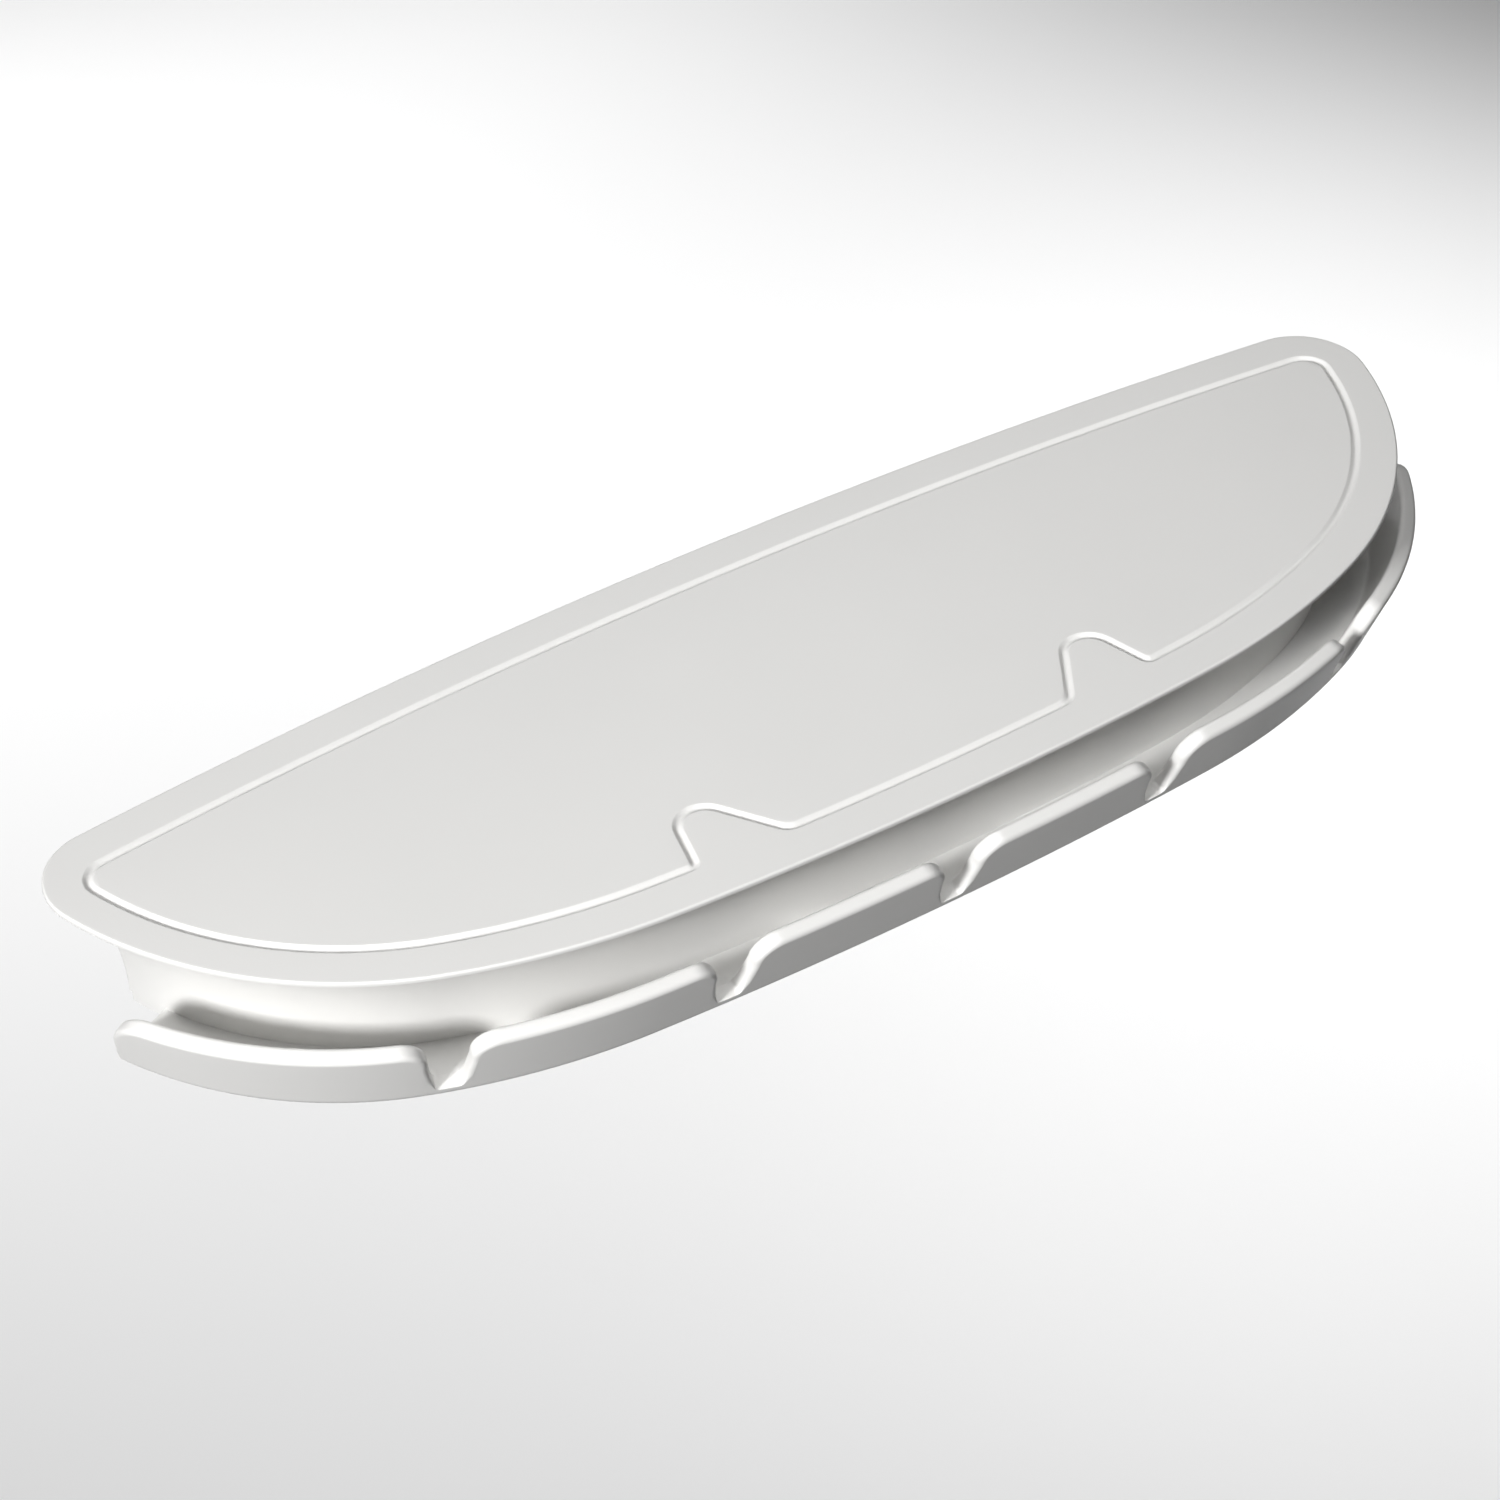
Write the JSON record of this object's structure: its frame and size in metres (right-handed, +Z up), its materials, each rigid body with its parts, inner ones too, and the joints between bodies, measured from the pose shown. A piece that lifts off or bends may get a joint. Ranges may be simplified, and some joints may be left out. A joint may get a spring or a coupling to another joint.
{
  "type": "half-moon wall shelf with notched hanging rail",
  "caption": "Half-moon wall shelf in white plastic with a grooved flat top, a concave body and a notched, outward-leaning hanging rail under its front edge.",
  "frame": {"origin": "middle of the wall bracket's back face, which lies on the wall", "axes": "+X along the shelf, +Y into the wall, +Z up"},
  "size_m": [0.32, 0.0955, 0.0324],
  "materials": {
    "white_plastic": "satin",
    "bracket_plastic": "matte",
    "screw_steel": "satin"
  },
  "bodies": {
    "root": {"top_plate": "white_plastic", "cove_body": "white_plastic", "hook_rail": "white_plastic", "wall_bracket": "bracket_plastic", "clamp_screw_1": "screw_steel", "clamp_screw_2": "screw_steel", "clamp_screw_3": "screw_steel", "clamp_screw_4": "screw_steel", "clamp_screw_5": "screw_steel", "clamp_screw_6": "screw_steel"}
  },
  "joints": []
}
